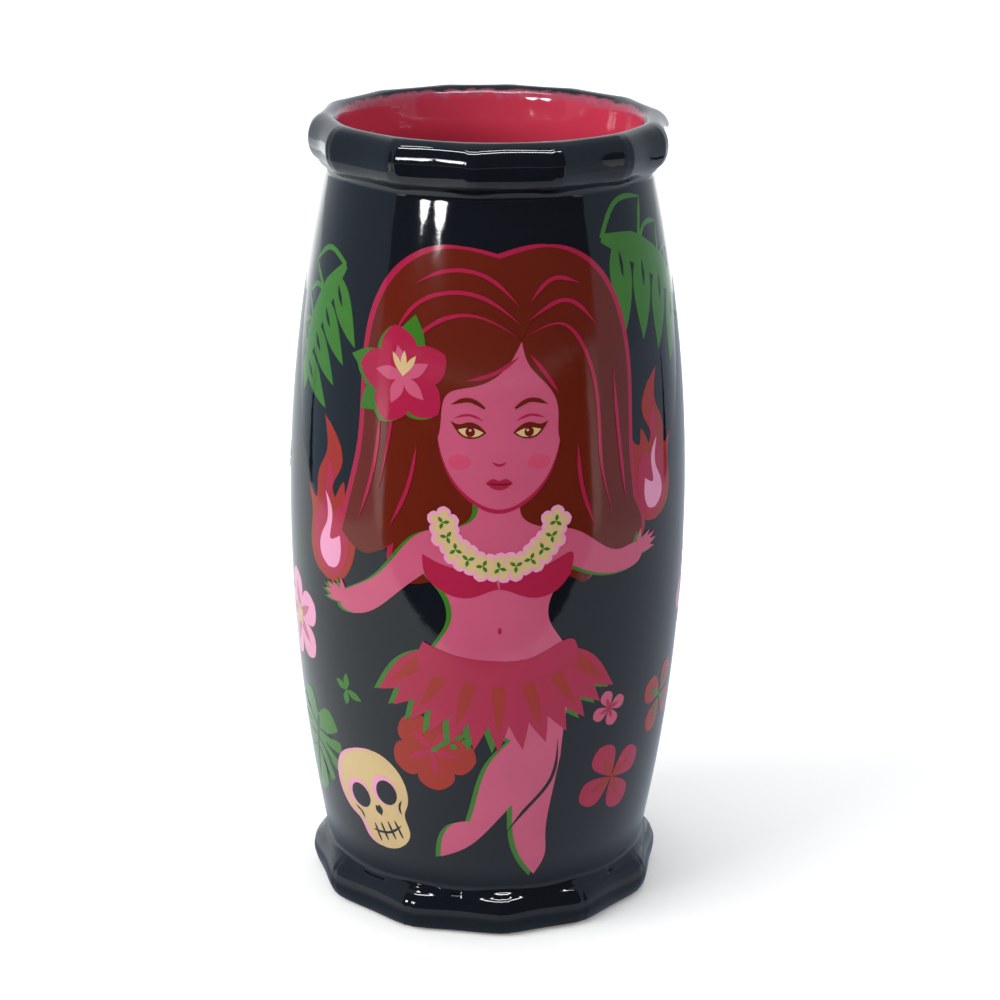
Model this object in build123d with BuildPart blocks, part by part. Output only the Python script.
"""Tiki mug: a slip-cast barrel with a bamboo ring at the lip and another at the foot.

The clay casting carries a dark glaze outside, a rose glaze inside and a dark glaze under the foot.
The front, +X to its right, faces -Y. The origin is on the table, on the mug's axis. Millimetres.
"""

import os
from math import cos, pi, radians, sin, sqrt

from build123d import *

# ---- Driving dimensions -------------------------------------------------------------------
height = 170.0
glaze = 0.4  # thickness of each glaze coat
wall = 3.6  # clay wall of the barrel
floor_top = 7.0  # glazed floor inside the mug
foot_recess = 2.0  # hollow under the foot
foot_recess_radius = 29.0
bare_foot = 0.6  # unglazed edge above the table
film = 0.1  # thickness of a fired-on enamel transfer
artwork_bottom = 10.0
artwork_top = 155.0

# The barrel bulges to its widest radius, and curves in above and below on two tangent arcs.
widest_radius = 42.5
widest_height = 85.0
lower_arc = 380.0
upper_arc = 330.0
barrel_top = 165.5

# The mouth: a smooth round lip inside the upper ring.
mouth_radius = 31.3
mouth_height = 166.0
throat_height = 156.0  # the wall below here follows the barrel
floor_corner = 9.0
glaze_join = 166.5  # the dark glaze ends and the rose glaze begins, inside the mouth

# Each ring is a run of straight bamboo canes that meet at knuckles, given by their angles.
# Angles go round from the front, positive towards +X.
lip_knuckles = [-164, -137, -110, -85, -59.5, -31, -5.5, 21, 47.5, 72, 98, 124, 149, 173]
foot_knuckles = [-152, -122, -91, -59.5, -25.5, 6.5, 34, 65.5, 97, 127, 153, 180]
knuckle_reach = 2.6  # how far along the cane a knuckle's swelling goes

lip_inner = mouth_radius - 0.3
lip_outer = 37.8
lip_half_height = 4.2
lip_knuckle_swell = 0.6

foot_inner = 29.5
foot_outer = 38.4
foot_centre_height = 4.0
foot_half_height = 5.3
foot_knuckle_swell = 0.5


# ---- The barrel ----------------------------------------------------------------------------
def barrel_radius(z):
    """Outer glazed radius of the barrel at height z, on the arc above or below its widest level."""
    arc = upper_arc if z > widest_height else lower_arc
    return widest_radius - arc + sqrt(arc**2 - (z - widest_height) ** 2)


def barrel_wall(inset, low, high):
    """Three points on each of the wall's two tangent arcs from low to high, inset from the glaze."""
    arcs = []
    for start, end in ((low, widest_height), (widest_height, high)):
        middle = (start + end) / 2
        arcs.append([(barrel_radius(z) - inset, z) for z in (start, middle, end)])
    return arcs


def barrel_solid(inset, low, high):
    """A solid barrel, inset from the glazed surface, between two heights."""
    with BuildPart() as solid:
        with BuildSketch(Plane.XZ):
            with BuildLine():
                arcs = [ThreePointArc(*points) for points in barrel_wall(inset, low, high)]
                Line(arcs[-1] @ 1, (0, high))
                Line((0, high), (0, low))
                Line((0, low), arcs[0] @ 0)
            make_face()
        revolve(axis=Axis.Z)
    return solid.part


def cavity_solid(grow):
    """The hollow of the mug, grown outwards by the thickness of the rose glaze when grow is above 0."""
    inset = glaze + wall - grow
    bottom = floor_top - grow
    knee = bottom + floor_corner
    with BuildPart() as solid:
        with BuildSketch(Plane.XZ):
            with BuildLine():
                floor_edge = barrel_radius(knee) - inset
                lower, upper = barrel_wall(inset, knee, throat_height)
                ThreePointArc(*lower)
                wall_top = ThreePointArc(*upper)
                TangentArc(wall_top @ 1, (mouth_radius + grow, mouth_height), tangent=wall_top % 1)
                Polyline(
                    (mouth_radius + grow, mouth_height),
                    (mouth_radius + grow, height + 5),
                    (0, height + 5),
                    (0, bottom),
                    (floor_edge - floor_corner, bottom),
                )
                RadiusArc((floor_edge - floor_corner, bottom), (floor_edge, knee), -floor_corner)
            make_face()
        revolve(axis=Axis.Z)
    return solid.part


# ---- The bamboo rings ------------------------------------------------------------------------
class Ring:
    """One bamboo ring: where its canes meet, and the oval section of a cane."""

    def __init__(self, knuckles, inner, outer, centre_height, half_height, swell):
        self.knuckles = sorted(knuckles)
        self.inner = inner
        self.outer = outer
        self.centre_height = centre_height
        self.half_height = half_height
        self.swell = swell

    def section(self, angle, start, end, inset):
        """A cane's oval at an angle: its middle radius and height, and its two half axes."""
        middle = (start + end) / 2
        flat = cos(radians((end - start) / 2)) / cos(radians(angle - middle))
        off_knuckle = radians(min(angle - start, end - angle)) * self.outer
        swell = self.swell * (1 / (1 + (off_knuckle / knuckle_reach) ** 2))
        outer = (self.outer - self.swell) * flat + swell
        half_height = self.half_height + swell
        half_depth = (outer - self.inner) / 2
        return (self.inner + half_depth, self.centre_height, half_depth - inset, half_height - inset)

    def cane(self, start, end, inset):
        """One cane, lofted through ovals on planes through the mug's axis."""
        step = 0.4 * knuckle_reach / self.outer * 180 / pi
        angles = [start, start + step, start + 3 * step, start + 6 * step]
        angles += [(start + end) / 2, end - 6 * step, end - 3 * step, end - step, end]
        with BuildPart() as cane:
            for angle in angles:
                radius, z, half_depth, half_height = self.section(angle, start, end, inset)
                turn = radians(angle)
                outward = Vector(sin(turn), -cos(turn), 0)
                along = Vector(cos(turn), sin(turn), 0)
                with BuildSketch(Plane(outward * radius + Vector(0, 0, z), x_dir=outward, z_dir=along)):
                    Ellipse(half_depth, half_height)
            loft()
        return cane.part

    def canes(self, inset):
        """All the canes of the ring, each reaching from one knuckle to the next."""
        ends = self.knuckles[1:] + [self.knuckles[0] + 360]
        return [self.cane(start, end, inset) for start, end in zip(self.knuckles, ends)]


lip_centre_height = height - lip_half_height - lip_knuckle_swell
lip_ring = Ring(
    lip_knuckles, lip_inner, lip_outer, lip_centre_height, lip_half_height, lip_knuckle_swell,
)
foot_ring = Ring(
    foot_knuckles, foot_inner, foot_outer, foot_centre_height, foot_half_height, foot_knuckle_swell,
)


# ---- The clay casting and its glaze coats ----------------------------------------------------
def outside(inset):
    """The whole outside of the mug as one solid, inset from the glazed surface, standing on z = 0."""
    with BuildPart() as whole:
        add(barrel_solid(inset, 0, barrel_top))
        add(lip_ring.canes(inset))
        add(foot_ring.canes(inset))
        split(bisect_by=Plane.XY, keep=Keep.TOP)
    return whole.part


def foot_hollow(depth):
    """The round recess under the foot."""
    with BuildPart() as recess:
        with BuildSketch(Plane.XY):
            Circle(foot_recess_radius)
        extrude(amount=depth)
    return recess.part


cavity = cavity_solid(0)
clay_cavity = cavity_solid(glaze)
glazed_outside = outside(0)

with BuildPart() as clay_body:
    add(outside(glaze))
    add(clay_cavity, mode=Mode.SUBTRACT)
    add(foot_hollow(foot_recess + glaze), mode=Mode.SUBTRACT)

with BuildPart() as inner_glaze:
    add(glazed_outside)
    add(clay_cavity, mode=Mode.INTERSECT)
    add(cavity, mode=Mode.SUBTRACT)
    split(bisect_by=Plane.XY.offset(glaze_join), keep=Keep.BOTTOM)

with BuildPart() as outer_glaze:
    add(glazed_outside)
    split(bisect_by=Plane.XY.offset(bare_foot), keep=Keep.TOP)
    for taken in (clay_body.part, cavity, inner_glaze.part, foot_hollow(foot_recess + glaze)):
        add(taken, mode=Mode.SUBTRACT)

with BuildPart() as base_glaze:
    with BuildSketch(Plane.XY.offset(foot_recess)):
        Circle(foot_recess_radius)
    extrude(amount=glaze)


# ---- The fired-on transfers --------------------------------------------------------------------
# Artwork is drawn flat: millimetres along the wall from a motif's own angle, and up from the table.
# An outline is a list of runs. One run alone is a smooth closed loop; several meet at sharp corners.
def placed(outline, along, up, turn=0, size=1):
    """An outline turned, scaled and moved to its place on the flat artwork."""
    across, rise = size * cos(radians(turn)), size * sin(radians(turn))
    return [
        [(along + across * u - rise * v, up + rise * u + across * v) for u, v in run]
        for run in outline
    ]


def flower(petals, reach, waist):
    """A round-petalled flower: its radius is reach less a dip of waist between each two petals."""
    loop = []
    for i in range(8 * petals):
        angle = 2 * pi * i / (8 * petals)
        dip = 0.5 - 0.5 * cos(petals * angle)
        radius = reach * (1 - waist * dip**2)
        loop.append((radius * cos(angle), radius * sin(angle)))
    return [loop]


def leaf(length, width, bend=0.0):
    """A pointed leaf from the origin along +u, its tip bent up by bend."""
    upper = [(0, 0), (length * 0.45, width / 2 + bend * 0.3), (length, bend)]
    lower = [(length, bend), (length * 0.45, -width / 2 + bend * 0.3), (0, 0)]
    return [upper, lower]


def frond(length, width, sag):
    """The outer shape of a palm frond along +u, with its tip sagging."""
    stalk = 1.2
    tip = (length, -sag)
    upper = [(0, stalk), (length * 0.3, width * 0.45), (length * 0.75, width * 0.3 - sag * 0.5), tip]
    lower = [tip, (length * 0.6, -width * 0.5 - sag * 0.5), (length * 0.15, -width * 0.55), (0, -stalk)]
    return [upper, lower, [(0, -stalk), (0, stalk)]]


def heart(reach):
    """A monstera leaf's outer shape: a heart with its notch up and its tip down."""
    side = [(0, 0.55), (0.45, 0.95), (0.98, 0.5), (0.85, -0.3), (0.4, -0.95), (0, -1.35)]
    right = [(reach * u, reach * v) for u, v in side]
    left = [(-reach * u, reach * v) for u, v in side[::-1]]
    return [right, left]


def flame(tall):
    """A flame standing on the origin, with a high tip and a low one on each side of it."""
    drawn_height = 36
    size = tall / drawn_height
    runs = [
        [(0, 0), (-6, 3), (-7.2, 9), (-7.4, 17)],
        [(-7.4, 17), (-4.6, 21), (-3, 28), (-2, 36)],
        [(-2, 36), (2.4, 28), (4.4, 21), (7.2, 17)],
        [(7.2, 17), (8, 10), (5.4, 3), (0, 0)],
    ]
    return placed(runs, 0, 0, size=size)


skull = [[
    (0, 10.6), (5.6, 9.4), (9, 5), (9.2, -0.4), (6.8, -4.4), (5.4, -10.2), (0, -12.2),
    (-5.4, -10.2), (-6.8, -4.4), (-9.2, -0.4), (-9, 5), (-5.6, 9.4),
]]
sprig = [leaf(7.6, 3.4), placed(leaf(7, 3.4), 0, 0, 120)]

hair = [
    [(2.5, 148), (-9, 149), (-21, 141), (-26.5, 122), (-28.5, 103), (-32, 89)],
    [(-32, 89), (-24, 85), (-12, 83), (2.5, 86), (15, 84), (26, 86), (35, 89)],
    [(35, 89), (31.5, 106), (30.5, 123), (25.5, 141), (13, 149), (2.5, 148)],
]
head = [[
    (2.3, 97.6), (12.2, 104.6), (15, 117), (12, 127.5), (2.3, 132), (-7.4, 127.5), (-10.4, 117), (-7.6, 104.6),
]]
body = [
    [(-2.2, 101), (-4, 94.6), (-14, 90.6), (-27, 79.6), (-33, 76.2), (-38, 77)],
    [(-38, 77), (-36.4, 71.6)],
    [(-36.4, 71.6), (-25, 75), (-13.4, 85), (-7.2, 74), (-13.4, 60)],
    [(-13.4, 60), (18.6, 60)],
    [(18.6, 60), (12.8, 74), (18, 85), (31.4, 81), (38, 84.6)],
    [(38, 84.6), (38.4, 88)],
    [(38.4, 88), (30, 85.4), (18, 91), (8.6, 94.6), (6.8, 101)],
    [(6.8, 101), (-2.2, 101)],
]
left_leg = [
    [(-10.5, 58), (-10.6, 47), (-7.2, 34), (-14.6, 18.4)],
    [(-14.6, 18.4), (-6.2, 20.6), (-0.6, 34), (4.6, 58)],
    [(4.6, 58), (-10.5, 58)],
]
right_leg = [
    [(3, 58), (3.4, 38), (7.4, 17)],
    [(7.4, 17), (15.2, 16.6)],
    [(15.2, 16.6), (12.4, 26), (15.3, 45), (16, 58)],
    [(16, 58), (3, 58)],
]
bandeau = [
    [(-13, 87.4), (2.5, 85.4), (17.4, 87.4)],
    [(17.4, 87.4), (9, 78.8), (2.5, 80.4), (-4, 78.8), (-13, 87.4)],
]
skirt = [
    [(-13, 67.6), (2.6, 63.6), (18.2, 67.6)],
    [(18.2, 67.6), (25, 62), (27, 54)],
    [(27, 54), (15, 46), (2.6, 42), (-10, 46), (-22, 54)],
    [(-22, 54), (-20, 62), (-13, 67.6)],
]
lei = [[
    (-9.5, 97.5), (-10, 90), (-4, 82.6), (2.5, 81), (9, 82.6), (15, 90), (14.5, 97.5),
    (10.4, 95), (8.2, 90), (2.5, 87.4), (-3.2, 90), (-5.4, 95),
]]

# The parts of the dancer share one angle; each colour is cut away where a nearer one lies on it.
dancer = {
    "dancer_hair_flower": [placed(flower(5, 9.2, 0.5), -17.5, 123.5, 98)],
    "dancer_lei": [lei],
    "dancer_bandeau": [bandeau],
    "dancer_skirt": [skirt],
    "dancer_figure": [head, body, left_leg, right_leg],
    "dancer_hair": [hair],
}
# Every other motif: its angle, and its outlines about that angle.
motifs = {
    "skull": (-38, [placed(skull, 0, 29.5, 20)]),
    "hibiscus_front": (-16, [placed(flower(5, 9.4, 0.5), 0, 43.5, 60)]),
    "flame_left": (-50, [placed(flame(35), 0, 77)]),
    "flame_right": (54, [placed(flame(32), 0, 90)]),
    "palm_frond_right": (38, [placed(frond(34, 20, 4), 0, 150, -22)]),
    "palm_frond_left": (-50, [placed(frond(34, 20, 4), 0, 141, 218)]),
    "plumeria_left": (-72, [placed(flower(5, 10.5, 0.55), 0, 64, 100)]),
    "monstera_left": (-66, [placed(heart(11), 0, 38, -18)]),
    "sprig_left": (-45.5, [placed(part, 0, 53, 85) for part in sprig]),
    "blossom_pink": (39, [placed(flower(4, 4.4, 0.55), 0, 50.5, 20)]),
    "blossom_magenta": (43, [placed(flower(4, 9, 0.6), 0, 33.5, 28)]),
    "blossom_red": (66, [placed(flower(4, 8.4, 0.55), 0, 47.5, 60)]),
    "plumeria_right": (88, [placed(flower(5, 10, 0.55), 0, 69, 30)]),
    "monstera_right": (108, [placed(heart(11.5), 0, 42, 20)]),
    "palm_frond_back_right": (112, [placed(frond(36, 21, 4), 0, 146, -60)]),
    "blossom_back_right": (122, [placed(flower(4, 7.5, 0.55), 0, 88, 10)]),
    "hibiscus_back": (160, [placed(flower(5, 15, 0.45), 0, 104, 90)]),
    "sprig_back_high": (-178, [placed(part, 0, 131, 60) for part in sprig]),
    "monstera_back": (148, [placed(heart(12), 0, 63, -12)]),
    "plumeria_back": (-172, [placed(flower(5, 11, 0.55), 0, 60, 70)]),
    "blossom_back_low": (165, [placed(flower(4, 7.5, 0.55), 0, 30, 25)]),
    "palm_frond_back_left": (-138, [placed(frond(36, 21, 4), 0, 147, -116)]),
    "flame_back": (-140, [placed(flame(34), 0, 66)]),
    "hibiscus_back_left": (-104, [placed(flower(5, 12, 0.5), 0, 92, 50)]),
    "monstera_back_left": (-123, [placed(heart(11.2), 0, 40, 12)]),
    "sprig_back_left": (-101, [placed(part, 0, 60, 40) for part in sprig]),
    "blossom_back_left": (-98, [placed(flower(4, 6.5, 0.55), 0, 33, 50)]),
}

# Motifs that pass behind others.
behind = {
    "hibiscus_front": ("dancer_skirt", "dancer_figure"),
    "flame_left": ("dancer_hair", "dancer_figure"),
    "flame_right": ("dancer_hair", "dancer_figure"),
    "palm_frond_right": ("dancer_hair",),
    "blossom_pink": ("dancer_skirt",),
    "monstera_left": ("skull",),
}

with BuildPart() as film_shell:
    with BuildSketch(Plane.XZ):
        with BuildLine():
            for inset in (0, -film):
                for arc in barrel_wall(inset, artwork_bottom, artwork_top):
                    ThreePointArc(*arc)
            for z in (artwork_bottom, artwork_top):
                Line((barrel_radius(z), z), (barrel_radius(z) + film, z))
        make_face()
    revolve(axis=Axis.Z)


def facing(angle):
    """The upright plane through the mug's axis that faces outwards at an angle."""
    turn = radians(angle)
    return Plane((0, 0, 0), x_dir=(cos(turn), sin(turn), 0), z_dir=(sin(turn), -cos(turn), 0))


def filled(outlines):
    """Flat outlines filled in, as the wall shows them square-on: it squeezes u to r sin(u / r)."""
    with BuildSketch() as flat:
        for outline in outlines:
            with BuildLine():
                for run in outline:
                    seen = [(barrel_radius(v) * sin(u / barrel_radius(v)), v) for u, v in run]
                    if len(outline) == 1:
                        Spline(*seen, periodic=True)
                    elif len(run) == 2:
                        Line(*seen)
                    else:
                        Spline(*seen)
            make_face()
    return flat.sketch


def transfer(angle, outlines, over=(), nearer=()):
    """A film of enamel on the wall, less the outlines of its own motif's upper colours and nearer films."""
    with BuildPart() as enamel:
        with BuildSketch(facing(angle)):
            add(filled(outlines))
            if over:
                add(filled(over), mode=Mode.SUBTRACT)
        extrude(amount=widest_radius + 1)
        add(film_shell, mode=Mode.INTERSECT)
        for other in nearer:
            add(other, mode=Mode.SUBTRACT)
    return enamel.part


pieces = {
    "clay_body": clay_body.part,
    "outer_glaze": outer_glaze.part,
    "inner_glaze": inner_glaze.part,
    "base_glaze": base_glaze.part,
}
upper = []
for name, outlines in dancer.items():
    pieces[name] = transfer(0, outlines, over=upper)
    upper += outlines
for name, (angle, outlines) in motifs.items():
    nearer = [pieces[other] for other in behind.get(name, ())]
    pieces[name] = transfer(angle, outlines, nearer=nearer)

os.makedirs("parts", exist_ok=True)
for name, piece in pieces.items():
    piece.label = name
    export_step(piece, f"parts/{name}.step")
    print(name, len(piece.solids()), "solid", round(piece.volume), "mm3")
